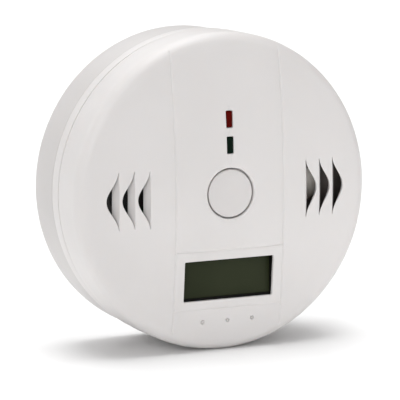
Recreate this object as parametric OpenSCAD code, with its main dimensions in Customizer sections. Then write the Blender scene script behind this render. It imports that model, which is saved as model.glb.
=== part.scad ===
// Round battery carbon monoxide alarm on a twist-off wall base.
// Frame: the origin is the centre of the base's wall face, +Z is up and the face looks towards -Y.
// Every module is drawn lying on the wall, x to the right, y up and z away from the wall, and
// wall_mounted() then turns it into that frame.

/* [Case] */
// Outside diameter of the front cover
case_d = 100; // [98:1:104]
// Height of the dome's apex above the wall
case_depth = 41; // [41:0.5:42]
// Rise of the dome from its rounded rim to its apex
dome_rise = 4; // [3.6:0.1:4.2]
// Radius of the rounded rim of the dome
rim_round = 4.6; // [3.5:0.1:5]
// Wall thickness of the case mouldings
wall = 2; // [1.8:0.1:2.2]
// Height of the seam between the front cover and the rear shell
seam_z = 21.6; // [21.4:0.1:21.8]
// Height of the rear shell's back
shell_z = 16; // [16:0.1:16.2]

/* [Mounting base] */
// Outside diameter of the mounting base
base_d = 98.4; // [97.6:0.2:99]
// Depth of the mounting base
base_depth = 14.6; // [14:0.1:15]
// Distance between the two wall screws
screw_spacing = 66; // [64:1:70]
// Diameter of the wall screw holes
screw_hole_d = 4.5; // [4:0.1:5]
// Turn that frees the alarm from its base
unlock_turn = 25; // [24:1:30]

/* [Face] */
// Radius of the hole for the test button
button_hole_r = 8; // [7.8:0.05:8.2]
// Height of the button's centre above the middle of the face
button_y = 0.3; // [0:0.1:0.5]
// Gap around the test button
button_gap = 0.7; // [0.5:0.05:0.8]
// Depth of the test button's top under the dome's apex
button_sink = 0.55; // [0.3:0.05:0.6]
// Travel of the test button
button_travel = 0.5; // [0.3:0.1:0.6]
// Distance of the two long grooves from the middle
groove_x = 18.55; // [18:0.05:19]
// Width of the grooves
groove_w = 0.6; // [0.4:0.1:0.8]
// Depth of the grooves
groove_depth = 0.2; // [0.1:0.05:0.5]
// Width of the display window
window_w = 30.6; // [29:0.1:31]
// Height of the display window
window_h = 12.8; // [12:0.1:13.2]
// Height of the display window's centre
window_y = -26.9; // [-27.2:0.1:-26.6]
// Width of a slot at its middle
slot_w = 3.95; // [3.4:0.05:4]
// Half the length of a slot
slot_reach = 11; // [10:0.1:11.4]
// Distance from one slot to the next
slot_pitch = 5; // [4.9:0.1:5.2]

/* [Hidden] */
$fn = 96;

case_r = case_d / 2;
base_r = base_d / 2;
inner_r = case_r - wall;

// The dome is a sphere that runs into the rounded rim
crown_r = case_r - rim_round;
dome_r = (pow(crown_r, 2) + pow(dome_rise, 2)) / (2 * dome_rise);
dome_centre_z = case_depth - dome_r;
blend_turn = asin(crown_r / (dome_r - rim_round));
rim_z = dome_centre_z + sqrt(pow(dome_r - rim_round, 2) - pow(crown_r, 2));
arc_steps = 8;

// Height of the dome, or of a surface the given depth under it, at a distance from the axis
function dome_z(r, under = 0) = dome_centre_z + sqrt(pow(dome_r - under, 2) - r * r);

// Half outline of the cover, the given depth inside its surface, from its floor to the apex
function cover_outline(under, floor_z) = concat(
    [[0, floor_z], [case_r - under, floor_z]],
    [for (i = [0:arc_steps]) let (a = (90 - blend_turn) * i / arc_steps)
        [crown_r + (rim_round - under) * cos(a), rim_z + (rim_round - under) * sin(a)]],
    [for (i = [1:arc_steps]) let (a = blend_turn * (1 - i / arc_steps))
        [(dome_r - under) * sin(a), dome_centre_z + (dome_r - under) * cos(a)]]);

// The flat bezel around the display lies along the dome's slope at its middle
bezel_top_y = -17.35;
bezel_bottom_y = -36.1;
bezel_h = bezel_top_y - bezel_bottom_y;
bezel_tilt = asin(-window_y / dome_r);
bezel_sink = 0.5;
bezel_z = dome_z(-window_y) - bezel_sink;
bezel_t = 1;

// The slots lean outwards, by slot_run over the depth slot_drop, and the cover is that thick around them
slot_first_x = 26.8;
slot_y = -0.1;
slot_run = 0.93;
slot_drop = 3.1;
louvre_edge = 1.5;
louvre_end_x = slot_first_x + 2 * slot_pitch + slot_w + slot_run + louvre_edge;

// Seam between the two halves of the case
seam_gap = 0.7;
lip_r = inner_r - 0.15;
lip_t = 1.5;
lip_h = 2;

// Battery bay: three AA cells side by side, open towards the wall
cell_d = 14.5;
cell_length = 50.5;
cell_pitch = 15;
cell_z = 10;
cell_x = [-cell_pitch, 0, cell_pitch];
cell_up = [1, -1, 1];
bay_wall = 1.6;
bay_w = 45;
bay_length = 57;
bay_ceiling_z = 17.6;
bay_open_z = 3.2;
box_w = bay_w + 2 * bay_wall;
box_length = bay_length + 2 * bay_wall;
box_top_z = bay_ceiling_z + bay_wall;
contact_t = 0.4;
contact_y = bay_length / 2 - contact_t;
nub_h = 1.4;
spring_length = 2 * contact_y - cell_length;

// Circuit board
board_z = 20.8;
board_t = 1.6;
board_top = board_z + board_t;
board_r = 44;
board_screw_r = 38;
board_screw_turn = [90, 210, 330];

// Case screws
case_screw_r = 39.5;
case_screw_turn = [45, 135, 225, 315];
screw_shaft_r = 1.4;
pillar_z = 21.3;

// Bayonet between the skirt of the rear shell and the base
skirt_r = 44.8;
skirt_t = 1.8;
skirt_z = 7.5;
tab_reach = 2;
tab_turn = unlock_turn - 5;
lug_turn = unlock_turn - 1;
lug_z = 10.5;
lug_t = 2;
stop_turn = 3;
stop_gap = 0.4;
bayonet_turn = [90, 210, 330];

// Display
lcd_z = 36.6;
lcd_w = 34.6;
lcd_h = 16.4;
lcd_t = 2.2;
lcd_wall = 0.9;
backlight_t = 3;
pin_pitch = 2.54;
lcd_feet = [for (side = [-1, 1], i = [0:11]) [(i - 5.5) * pin_pitch, window_y + side * 7.4]];

// Lamps, sensor, buzzer and button
red_led_y = 23.4;
green_led_y = 15.36;
led_w = 2;
led_h = 5;
led_length = 7.5;
led_leads = [for (y = [red_led_y, green_led_y], side = [-1, 1]) [0, y + side * 1.27]];
sensor_x = -33;
sensor_r = 7.3;
sensor_h = 10;
buzzer_x = 30;
buzzer_r = 13.5;
buzzer_h = 10;
sound_hole_r = 5.2;
plunger_r = 1.75;
switch_size = 6;
switch_h = 3.5;
stem_foot_z = 34.8;
plunger_foot_z = board_top + 1.2;

module wall_mounted() { rotate([90, 0, 0]) children(); }

module sector(r_in, r_out, z, h, middle, turn) {
    rotate([0, 0, middle - turn / 2]) translate([0, 0, z])
        rotate_extrude(angle = turn) translate([r_in, 0]) square([r_out - r_in, h]);
}

module on_angles(radius, turns) {
    for (a = turns) rotate([0, 0, a]) translate([radius, 0, 0]) children();
}

module tube(r_out, r_in, z, h) {
    difference() {
        translate([0, 0, z]) cylinder(r = r_out, h = h);
        translate([0, 0, z - 1]) cylinder(r = r_in, h = h + 2);
    }
}

module centred_box(w, l, z, h) {
    translate([-w / 2, -l / 2, z]) cube([w, l, h]);
}

function unit(v) = v / norm(v);

// A round wire along a list of points. It never runs parallel to the direction aside.
module wire(points, r, aside) {
    sides = 8;
    last = len(points) - 1;
    rings = [for (i = [0:last])
        let (along = unit(points[min(i + 1, last)] - points[max(i - 1, 0)]),
             u = unit(cross(along, aside)), w = cross(along, u))
        for (j = [0:sides - 1]) let (b = 360 * j / sides) points[i] + r * (cos(b) * u + sin(b) * w)];
    faces = concat(
        [[for (j = [0:sides - 1]) j]],
        [for (i = [0:last - 1], j = [0:sides - 1]) let (n = (j + 1) % sides)
            [i * sides + j, (i + 1) * sides + j, (i + 1) * sides + n, i * sides + n]],
        [[for (j = [sides - 1:-1:0]) last * sides + j]]);
    polyhedron(points = rings, faces = faces);
}

// ---- Mounting base ----

module mounting_base() {
    rear_round = 1.5;
    front_round = 0.5;
    floor_t = 2;
    dish_r = base_r - wall;
    color("whitesmoke") wall_mounted() difference() {
        union() {
            rotate_extrude() polygon(concat(
                [[0, 0]],
                [for (i = [0:4]) let (a = 22.5 * i)
                    [base_r - rear_round * (1 - sin(a)), rear_round * (1 - cos(a))]],
                [for (i = [0:2]) let (a = 45 * i)
                    [base_r - front_round * (1 - cos(a)), base_depth - front_round * (1 - sin(a))]],
                [[dish_r, base_depth], [dish_r, floor_t], [0, floor_t]]));
            // Bayonet lugs, each with a stop where the alarm is locked
            for (a = bayonet_turn) {
                sector(dish_r - 1.9, dish_r + 1, lug_z, lug_t, a, lug_turn);
                sector(dish_r - 1.8, dish_r + 0.9, floor_t - 1, lug_z + lug_t - floor_t,
                       a - tab_turn / 2 - stop_gap - stop_turn / 2, stop_turn);
            }
            // Gussets between the floor and the wall
            on_angles(40.5, [for (i = [0:11]) 15 + 30 * i])
                translate([0, -0.6, floor_t - 1]) cube([dish_r + 1 - 40.5, 1.2, 4]);
            // Bosses around the wall screws
            for (side = [-1, 1]) translate([side * screw_spacing / 2, 0, floor_t - 1])
                cylinder(d = screw_hole_d + 5, h = 1.6);
        }
        for (side = [-1, 1]) translate([side * screw_spacing / 2, 0, -1])
            cylinder(d = screw_hole_d, h = floor_t + 4);
    }
}

// ---- Rear shell ----

module rear_shell() {
    box_fit = 0.1;
    case_boss_r = 3.6;
    board_boss_r = 2.6;
    counterbore_r = 3.1;
    case_hole_r = 1.6;
    color("whitesmoke") wall_mounted() difference() {
        union() {
            translate([0, 0, shell_z]) cylinder(r = case_r - 0.2, h = wall);
            tube(case_r - 0.2, lip_r - lip_t, shell_z, seam_z - seam_gap - shell_z);
            tube(lip_r, lip_r - lip_t, shell_z + 1, seam_z + lip_h - shell_z - 1);
            tube(skirt_r, skirt_r - skirt_t, skirt_z, shell_z + 1 - skirt_z);
            for (a = bayonet_turn)
                sector(skirt_r - 1, skirt_r + tab_reach, skirt_z + 0.3, 2.4, a, tab_turn);
            on_angles(case_screw_r, case_screw_turn)
                translate([0, 0, shell_z + 1])
                    cylinder(r = case_boss_r, h = pillar_z - 0.2 - shell_z - 1);
            on_angles(board_screw_r, board_screw_turn)
                translate([0, 0, shell_z + 1]) cylinder(r = board_boss_r, h = board_z - shell_z - 1);
        }
        // Opening for the battery box
        centred_box(box_w + 2 * box_fit, box_length + 2 * box_fit, shell_z - 1, wall + 2);
        on_angles(case_screw_r, case_screw_turn) {
            translate([0, 0, shell_z - 1]) cylinder(r = counterbore_r, h = 3.6);
            translate([0, 0, shell_z - 1]) cylinder(r = case_hole_r, h = 8);
        }
        on_angles(board_screw_r, board_screw_turn)
            translate([0, 0, shell_z + 1.5]) cylinder(r = screw_shaft_r + 0.02, h = 5);
    }
}

// ---- Battery box ----

// A tray that passes through the rear shell and rests on it with the flanges along its edges
module battery_box() {
    flange_reach = 1.5;
    flange_z = shell_z + wall;
    rib_z = 15.2;
    color("whitesmoke") wall_mounted() difference() {
        union() {
            centred_box(box_w, box_length, bay_open_z, box_top_z - bay_open_z);
            centred_box(40, box_length + 2 * flange_reach, flange_z, box_top_z - flange_z);
            centred_box(box_w + 2 * flange_reach, 24, flange_z, box_top_z - flange_z);
        }
        // The bay, with low ribs left between the cells
        difference() {
            centred_box(bay_w, bay_length, bay_open_z - 1, bay_ceiling_z - bay_open_z + 1);
            for (side = [-1, 1]) translate([side * cell_pitch / 2, 0, 0])
                centred_box(1.2, 40, rib_z, bay_ceiling_z - rib_z + 1);
        }
        // Slits where the two leads' contacts come through the ceiling
        for (side = [-1, 1]) translate([side * cell_pitch, -side * (contact_y - 0.1), 0])
            centred_box(4.4, 1.2, bay_ceiling_z - 1, bay_wall + 2);
    }
}

// ---- Front cover ----

// What a slot whose straight edge stands at x removes. Its other edge is bell-shaped.
module slot_cut(x) {
    steps = 20;
    over = 4;
    under = 5;
    lean = slot_run / slot_drop;
    tip_w = 0.1;
    end = slot_reach * acos(pow(tip_w / slot_w, 1 / 3)) / 90;
    outline = [for (i = [0:steps]) let (y = end * (2 * i / steps - 1))
        [slot_w * pow(cos(90 * y / slot_reach), 3), y]];
    corners = concat([[0, end], [0, -end]], outline);
    n = len(corners);
    translate([x, slot_y, dome_z(x)]) polyhedron(
        points = concat(
            [for (p = corners) [p.x + lean * under, p.y, -under]],
            [for (p = corners) [p.x - lean * over, p.y, over]]),
        faces = concat(
            [[for (i = [0:n - 1]) i]],
            [for (i = [0:n - 1]) let (j = (i + 1) % n) [i, i + n, j + n, j]],
            [[for (i = [n - 1:-1:0]) i + n]]));
}

// The thicker part of the cover that the slots of one side pass through
module louvre() {
    inner_x = slot_first_x - louvre_edge;
    reach = slot_reach + louvre_edge;
    difference() {
        intersection() {
            translate([inner_x, slot_y - reach, 30]) cube([louvre_end_x - inner_x, 2 * reach, 20]);
            rotate_extrude() polygon(cover_outline(0.5, 30));
        }
        rotate_extrude() polygon(cover_outline(slot_drop, 29));
    }
}

module both_sides() {
    children();
    mirror([1, 0, 0]) children();
}

module face_grooves() {
    top = 45;
    bottom = -43.5;
    both_sides() translate([groove_x - groove_w / 2, bottom, rim_z]) cube([groove_w, top - bottom, 20]);
    for (y = [bezel_top_y, bezel_bottom_y])
        translate([-groove_x, y - groove_w / 2, rim_z]) cube([2 * groove_x, groove_w, 20]);
}

module bezel() {
    intersection() {
        translate([-groove_x, bezel_bottom_y, 30]) cube([2 * groove_x, bezel_h, 20]);
        translate([0, window_y, bezel_z]) rotate([bezel_tilt, 0, 0])
            centred_box(2 * groove_x + 4, bezel_h + 10, -bezel_t, bezel_t);
    }
}

module front_cover() {
    slot_x = [for (i = [0:2]) slot_first_x + slot_pitch * i];
    led_window = [led_w + 0.3, led_h + 0.4];
    pip_x = 8.55;
    pip_y = -40.2;
    pip_r = 0.9;
    pip_h = 0.45;
    pillar_r = 3.2;
    collar_r = 11.2;
    collar_t = 1.2;
    collar_z = 35;
    color("white") wall_mounted() difference() {
        union() {
            difference() {
                rotate_extrude() polygon(cover_outline(0, seam_z));
                rotate_extrude() polygon(cover_outline(wall, seam_z - 1));
                translate([-groove_x, bezel_bottom_y, 30]) cube([2 * groove_x, bezel_h, 20]);
            }
            bezel();
            on_angles(case_screw_r, case_screw_turn) translate([0, 0, pillar_z])
                cylinder(r = pillar_r, h = dome_z(case_screw_r, 1.2) - pillar_z);
            both_sides() louvre();
            translate([0, button_y, 0])
                tube(collar_r, collar_r - collar_t, collar_z, dome_z(collar_r, 1) - collar_z);
            for (x = [-pip_x, 0, pip_x]) {
                z = dome_z(norm([x, pip_y]));
                translate([x, pip_y, z - 1]) cylinder(r1 = pip_r, r2 = 0.6 * pip_r, h = 1 + pip_h);
            }
        }
        // Grooves, cut to an even depth under the surface
        difference() {
            face_grooves();
            rotate_extrude() polygon(cover_outline(groove_depth, seam_z - 1));
        }
        translate([0, window_y, 0]) centred_box(window_w, window_h, 30, 20);
        for (y = [red_led_y, green_led_y]) translate([0, y, 0])
            centred_box(led_window.x, led_window.y, 30, 20);
        translate([0, button_y, 30]) cylinder(r = button_hole_r, h = 20);
        both_sides() for (x = slot_x) slot_cut(x);
        on_angles(case_screw_r, case_screw_turn)
            translate([0, 0, pillar_z - 1]) cylinder(r = screw_shaft_r + 0.02, h = 12);
    }
}

// ---- Test button and its switch ----

module test_button() {
    top_z = dome_z(0) - button_sink;
    flange_top = dome_z(10, wall) - 0.4;
    flange_t = 1.3;
    flange_r = 9.6;
    edge = 0.4;
    cap_r = button_hole_r - button_gap;
    color("white") wall_mounted() translate([0, button_y, 0]) rotate_extrude() polygon([
        [0, stem_foot_z], [2, stem_foot_z], [2, flange_top - flange_t],
        [flange_r, flange_top - flange_t], [flange_r, flange_top], [cap_r, flange_top],
        [cap_r, top_z - edge], [cap_r - edge, top_z], [0, top_z]]);
}

module switch_plunger() {
    color("dimgray") wall_mounted() translate([0, button_y, plunger_foot_z])
        cylinder(r = plunger_r, h = stem_foot_z - plunger_foot_z);
}

module tact_switch() {
    color("dimgray") wall_mounted() translate([0, button_y, 0]) {
        difference() {
            centred_box(switch_size, switch_size, board_top, switch_h);
            translate([0, 0, plunger_foot_z - button_travel - 0.1])
                cylinder(r = plunger_r + 0.06, h = switch_h);
        }
        for (x = [-1, 1], y = [-1, 1]) translate([x * 3.3, y * 2.25, 0])
            centred_box(0.6, 0.7, board_top, 1.4);
    }
}

// ---- Circuit board ----

module main_board() {
    color("darkgreen") wall_mounted() difference() {
        translate([0, 0, board_z]) cylinder(r = board_r, h = board_t);
        on_angles(case_screw_r, case_screw_turn)
            translate([0, 0, board_z - 1]) cylinder(r = 4, h = board_t + 2);
        on_angles(board_screw_r, board_screw_turn)
            translate([0, 0, board_z - 1]) cylinder(r = 1.6, h = board_t + 2);
        for (p = wire_ends) translate([p.x, p.y, board_z - 1]) cylinder(r = 0.8, h = board_t + 2);
        for (p = concat(led_leads, lcd_feet)) translate([p.x, p.y, board_z - 1])
            cylinder(r = 0.45, h = board_t + 2);
    }
}

module mcu() {
    color("black") wall_mounted() translate([-13, 6, 0]) centred_box(7.5, 10.3, board_top, 2.3);
    color("silver") wall_mounted() translate([-13, 6, 0])
        for (side = [-1, 1], i = [0:7]) translate([side * 4.35, (i - 3.5) * 1.27, 0])
            centred_box(1.3, 0.45, board_top, 1.1);
}

module crystal() {
    color("silver") wall_mounted() translate([-13, -5.5, board_top + 1.55]) rotate([0, 90, 0])
        cylinder(r = 1.5, h = 8, center = true);
}

module capacitors() {
    color("navy") wall_mounted() for (p = [[12, 18], [12, 26.5], [-22, 20]])
        translate([p.x, p.y, board_top]) cylinder(r = 3.15, h = 8.5);
}

module resistors() {
    color("black") wall_mounted() for (x = [8, 12], i = [0:4])
        translate([x, 1.5 + 2.4 * i, 0]) centred_box(3.2, 1.6, board_top, 0.6);
}

module buzzer_coil() {
    color("sienna") wall_mounted() translate([-11, 27, board_top]) {
        cylinder(r = 4, h = 1);
        cylinder(r = 3.4, h = 8);
        translate([0, 0, 7]) cylinder(r = 4, h = 1);
    }
}

module board_screws() {
    color("silver") wall_mounted() on_angles(board_screw_r, board_screw_turn) {
        translate([0, 0, shell_z + 2]) cylinder(r = screw_shaft_r, h = board_top - shell_z - 2 + 0.5);
        difference() {
            translate([0, 0, board_top]) cylinder(r = 2.5, h = 1.6);
            translate([0, 0, board_top + 0.8]) centred_box(3.4, 0.6, 0, 1);
            translate([0, 0, board_top + 0.8]) centred_box(0.6, 3.4, 0, 1);
        }
    }
}

module case_screws() {
    head_z = shell_z + 2.6;
    color("silver") wall_mounted() on_angles(case_screw_r, case_screw_turn) {
        translate([0, 0, head_z - 1]) cylinder(r = screw_shaft_r, h = 12);
        difference() {
            translate([0, 0, head_z - 1.7]) cylinder(r = 2.75, h = 1.7);
            centred_box(3.6, 0.7, head_z - 2.7, 1.9);
            centred_box(0.7, 3.6, head_z - 2.7, 1.9);
        }
    }
}

// ---- Display ----

module lcd_frame() {
    // The sight of the frame stands a little inside the lower edge of the window
    sight_drop = 0.35;
    sight_h = window_h - 2 * sight_drop;
    color("black") wall_mounted() difference() {
        intersection() {
            translate([0, window_y, 0])
                centred_box(lcd_w + 2 * lcd_wall, lcd_h + 2 * lcd_wall, board_top, 20);
            translate([0, window_y, bezel_z - bezel_t - 0.2]) rotate([bezel_tilt, 0, 0])
                centred_box(60, 40, -30, 30);
        }
        translate([0, window_y, 0])
            centred_box(lcd_w + 0.2, lcd_h + 0.2, board_top - 1, lcd_z - board_top + 1.05);
        translate([0, window_y + sight_drop, 0]) centred_box(window_w - 0.2, sight_h, 30, 20);
    }
}

module lcd_glass() {
    color("darkolivegreen") wall_mounted() translate([0, window_y, 0])
        centred_box(lcd_w, lcd_h, lcd_z - lcd_t, lcd_t);
}

module lcd_backlight() {
    color("white") wall_mounted() translate([0, window_y, 0])
        centred_box(32, 12, lcd_z - lcd_t - 0.1 - backlight_t, backlight_t);
}

module lcd_pins() {
    color("silver") wall_mounted() for (p = lcd_feet) translate([p.x, p.y, 0])
        centred_box(0.5, 0.3, board_z - 0.8, lcd_z - lcd_t - board_z + 0.8);
}

// ---- Lamps ----

module led(y) {
    top_z = dome_z(y) - 0.15;
    translate([0, y, 0]) centred_box(led_w, led_h, top_z - led_length, led_length);
    for (side = [-1, 1]) translate([0, y + side * 1.27, 0])
        centred_box(0.5, 0.5, board_z - 0.8, top_z - led_length - board_z + 1);
}

module red_led() { color("darkred") wall_mounted() led(red_led_y); }

module green_led() { color("darkgreen") wall_mounted() led(green_led_y); }

// ---- Gas sensor and buzzer ----

module co_sensor() {
    color("dimgray") wall_mounted() translate([sensor_x, 0, board_top]) difference() {
        union() {
            cylinder(r = sensor_r + 0.5, h = 1.2);
            cylinder(r = sensor_r, h = sensor_h);
        }
        translate([0, 0, sensor_h - 1]) cylinder(r = 4.5, h = 2);
    }
}

module sensor_filter() {
    color("black") wall_mounted() translate([sensor_x, 0, board_top + sensor_h - 1])
        cylinder(r = 4.45, h = 1.2);
}

module buzzer_housing() {
    color("black") wall_mounted() translate([buzzer_x, 0, board_top]) difference() {
        cylinder(r = buzzer_r, h = buzzer_h);
        translate([0, 0, buzzer_h - 1.6]) cylinder(r = buzzer_r - 1.2, h = 0.4);
        translate([0, 0, 1.2]) cylinder(r = buzzer_r - 2.4, h = buzzer_h - 2.7);
        translate([0, 0, buzzer_h - 1.5]) cylinder(r = sound_hole_r, h = 2);
    }
}

module piezo_disc() {
    color("silver") wall_mounted() translate([buzzer_x, 0, board_top + buzzer_h - 1.55])
        cylinder(r = buzzer_r - 1.3, h = 0.3);
}

// ---- Batteries ----

module aa_cell(i) {
    wall_mounted() translate([cell_x[i], 0, cell_z]) mirror([0, cell_up[i] < 0 ? 1 : 0, 0])
        translate([0, contact_y, 0]) rotate([90, 0, 0]) {
            color("gold") cylinder(r = 2.75, h = nub_h + 1);
            color("darkslategray") translate([0, 0, nub_h])
                cylinder(d = cell_d, h = cell_length - nub_h);
        }
}

module aa_cell_1() { aa_cell(0); }

module aa_cell_2() { aa_cell(1); }

module aa_cell_3() { aa_cell(2); }

// Conical spring from the contact plate to the flat end of a cell
module spring() {
    wire_r = 0.4;
    turns = 3.5;
    steps = 14;
    sides = 6;
    foot_r = 5;
    tip_r = 2.6;
    rings = turns * steps;
    function ring(k) = let (s = k / rings, a = 360 * k / steps, r = foot_r + (tip_r - foot_r) * s)
        [for (j = [0:sides - 1]) let (b = 360 * j / sides, out = r + wire_r * cos(b))
            [out * cos(a), out * sin(a),
             wire_r + (spring_length - 2 * wire_r) * s + wire_r * sin(b)]];
    points = [for (k = [0:rings]) each ring(k)];
    faces = concat(
        [[for (j = [0:sides - 1]) j]],
        [for (k = [0:rings - 1], j = [0:sides - 1]) let (n = (j + 1) % sides)
            [k * sides + j, (k + 1) * sides + j, (k + 1) * sides + n, k * sides + n]],
        [[for (j = [sides - 1:-1:0]) rings * sides + j]]);
    polyhedron(points = points, faces = faces);
}

module battery_springs() {
    color("silver") wall_mounted() for (i = [0:2])
        translate([cell_x[i], 0, cell_z]) mirror([0, cell_up[i] > 0 ? 1 : 0, 0])
            translate([0, contact_y, 0]) rotate([90, 0, 0]) spring();
}

module battery_contacts() {
    plate_z = 4.5;
    plate_h = 12;
    color("silver") wall_mounted() for (side = [-1, 1]) {
        // One plate joins two cells, and the other one carries a lead
        translate([side * cell_pitch / 2, side * (contact_y + contact_t / 2), 0])
            centred_box(cell_pitch + 11, contact_t, plate_z, plate_h);
        translate([-side * cell_pitch, side * (contact_y + contact_t / 2), 0]) {
            centred_box(11, contact_t, plate_z, plate_h);
            centred_box(4, contact_t, plate_z, board_z - 0.6 - plate_z);
        }
    }
}

red_lead = [[-15, 28.55, 19.9], [-15, 31, 19.9], [-14.4, 33, 19.9], [-13, 34.6, 19.9], [-11, 36, 19.9],
            [-9.6, 36.8, 20.2], [-9, 37, 21], [-9, 37, 23.4]];
black_lead = [[15, -28.55, 19.9], [15.3, -30.5, 19.9], [16.5, -32.3, 19.9], [19, -34, 19.9],
              [21.5, -35.4, 20], [22.3, -35.9, 20.4], [22.5, -36, 21.2], [22.5, -36, 23.4]];
wire_ends = [red_lead[7], black_lead[7]];
lead_r = 0.55;

module battery_wires() {
    color("red") wall_mounted() wire(red_lead, lead_r, [1, -1, 1]);
    color("black") wall_mounted() wire(black_lead, lead_r, [1, 1, 1]);
}

mounting_base();
rear_shell();
battery_box();
front_cover();
test_button();
switch_plunger();
tact_switch();
main_board();
lcd_frame();
lcd_glass();
lcd_backlight();
lcd_pins();
red_led();
green_led();
co_sensor();
sensor_filter();
buzzer_housing();
piezo_disc();
aa_cell_1();
aa_cell_2();
aa_cell_3();
battery_springs();
battery_contacts();
battery_wires();
mcu();
crystal();
capacitors();
resistors();
buzzer_coil();
case_screws();
board_screws();
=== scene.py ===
"""Looks of a round carbon monoxide alarm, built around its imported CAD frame.

Outlines are drawn lying on the wall, in millimetres: x to the right, y up and z away from the wall.
row() turns such a point into the frame's metres.
"""

import math

import bpy
import numpy as np
from mathutils import Matrix, Vector
from mathutils.geometry import delaunay_2d_cdt


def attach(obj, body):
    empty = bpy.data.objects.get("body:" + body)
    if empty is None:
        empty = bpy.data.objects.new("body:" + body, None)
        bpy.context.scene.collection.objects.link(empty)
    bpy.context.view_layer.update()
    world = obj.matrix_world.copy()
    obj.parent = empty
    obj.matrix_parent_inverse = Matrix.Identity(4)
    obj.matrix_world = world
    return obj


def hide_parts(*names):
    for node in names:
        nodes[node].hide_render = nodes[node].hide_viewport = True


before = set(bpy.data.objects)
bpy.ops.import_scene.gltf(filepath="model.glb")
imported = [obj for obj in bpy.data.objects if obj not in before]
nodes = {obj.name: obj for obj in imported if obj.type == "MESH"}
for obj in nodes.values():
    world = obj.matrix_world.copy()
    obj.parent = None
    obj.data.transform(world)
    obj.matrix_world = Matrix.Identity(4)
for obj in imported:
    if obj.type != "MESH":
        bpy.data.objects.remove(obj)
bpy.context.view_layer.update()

MM = 0.001

# Case, as in the CAD model. The dome meets the round of the rim at BLEND_R, and the middle of that round is
# at CROWN_R and RIM_Z
CASE_R = 50.0
CASE_DEPTH = 41.0
DOME_RISE = 4.0
RIM_ROUND = 4.6
WALL = 2.0
SEAM_Z = 21.6
CROWN_R = CASE_R - RIM_ROUND
DOME_R = (CROWN_R**2 + DOME_RISE**2) / (2 * DOME_RISE)
DOME_CENTRE_Z = CASE_DEPTH - DOME_R
RIM_Z = DOME_CENTRE_Z + math.sqrt((DOME_R - RIM_ROUND) ** 2 - CROWN_R**2)
BLEND_R = CROWN_R * DOME_R / (DOME_R - RIM_ROUND)

# Face. Two details differ from the CAD model: the gap round the button is 0.2 mm narrower, and each pip is a
# small pin that stands in a ring
BUTTON_Y = 0.3
BUTTON_HOLE_R = 8.0
BUTTON_GAP = 0.5
BUTTON_SINK = 0.55
BUTTON_COUNT = 128
GROOVE_X = 18.55
GROOVE_Y = (-43.5, 45.0)
GROOVE_HALF = 0.38
CHANNEL_TOP = 27.2
CHANNEL_HALF = 0.6
WINDOW = (30.6, 12.8)
WINDOW_Y = -26.9
WINDOW_CORNER = 0.4
BEZEL_TOP = -17.35
BEZEL_BOTTOM = -36.1
BEZEL_TILT = math.asin(-WINDOW_Y / DOME_R)
BEZEL_SINK = 0.5
BEZEL_T = 1.0
BEZEL_BLEND = 0.4
LED_Y = {"red_led": 23.4, "green_led": 15.36}
LED_SIZE = (2.0, 5.0)
LED_LENGTH = 7.5
LED_SINK = 0.15
LED_WINDOW = (LED_SIZE[0] + 0.3, LED_SIZE[1] + 0.4)
LED_WINDOW_CORNER = 0.3
PIP_X = (-8.55, 0.0, 8.55)
PIP_Y = -40.2
PIP_R = 0.25
PIP_H = 0.25
PIP_POWER = 0.6
PIP_RING_R = 0.75
PIP_RING_DEPTH = 0.55
PILLAR_R = 3.2
PILLAR_Z = 21.3
CASE_SCREW_R = 39.5
CASE_SCREW_TURNS = (45, 135, 225, 315)
COLLAR_R = (10.0, 11.2)
COLLAR_Z = 35.0

# Slots: a bell-shaped edge faces a straight one, and a slot ends where it is TIP_W wide. They lean outwards,
# by SLOT_RUN over the depth SLOT_DROP, and at that depth they have closed by SLOT_CLOSING. The cover is
# SLOT_DROP thick around them. The CAD model's slots lean less and don't close, and its cover is 0.7 mm
# thicker there
SLOT_FIRST_X = 26.8
SLOT_PITCH = 5.0
SLOT_COUNT = 3
SLOT_W = 3.95
SLOT_REACH = 11.0
SLOT_POWER = 3.0
SLOT_Y = -0.1
TIP_W = 0.1
SLOT_RUN = 1.45
SLOT_CLOSING = 0.73
SLOT_DROP = 2.4
LOUVRE_EDGE = 1.5
LOUVRE_CORNER = 0.1
LOUVRE_END_X = SLOT_FIRST_X + (SLOT_COUNT - 1) * SLOT_PITCH + SLOT_W + SLOT_RUN + LOUVRE_EDGE

# Rear shell, as in the CAD model, but for a seam that is 0.3 mm wider
SHELL_Z = 16.0
SHELL_R = 49.8
SHELL_TOP = 20.6
SEAM_ROUND = 0.15
LIP_R = (46.35, 47.85)
LIP_TOP = 23.6
LIP_CHAMFER = 0.3
SKIRT_R = (43.0, 44.8)
SKIRT_Z = 7.5
TAB_R = 46.8
TAB_Z = (7.8, 10.2)
TAB_TURN = 20
BAYONET_TURNS = (90, 210, 330)
BOX_OPENING = (48.4, 60.4)
BOX_CORNER = 0.2
BOARD_SCREW_R = 38.0
BOARD_SCREW_TURNS = BAYONET_TURNS
BOARD_Z = 20.8
CASE_BOSS_R = 3.6
BOARD_BOSS_R = 2.6
COUNTERBORE_R = 3.1
COUNTERBORE_TOP = SHELL_Z + 2.6
CASE_HOLE_R = 1.6
BOARD_HOLE_R = 1.42

# Mounting base, as in the CAD model. Lugs and stops are sunk into the wall of the dish
BASE_R = 49.2
BASE_DEPTH = 14.6
BASE_FLOOR = 2.0
DISH_R = BASE_R - WALL
LUG_R = (DISH_R - 1.9, DISH_R + 1)
LUG_Z = (10.5, 12.5)
LUG_TURN = 24
STOP_R = (DISH_R - 1.8, DISH_R + 0.9)
STOP_TURN = 3
STOP_GAP = 0.4
GUSSET_R = 40.5
GUSSET_T = 1.2
GUSSET_TOP = 5.0
GUSSET_TURNS = range(15, 360, 30)
SCREW_X = 33.0
SCREW_HOLE_R = 2.25
SCREW_BOSS_R = SCREW_HOLE_R + 2.5
SCREW_BOSS_H = 0.6

# Distance from a step in a surface to the lines that are drawn on both sides of it
STEP = 0.03
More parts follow.
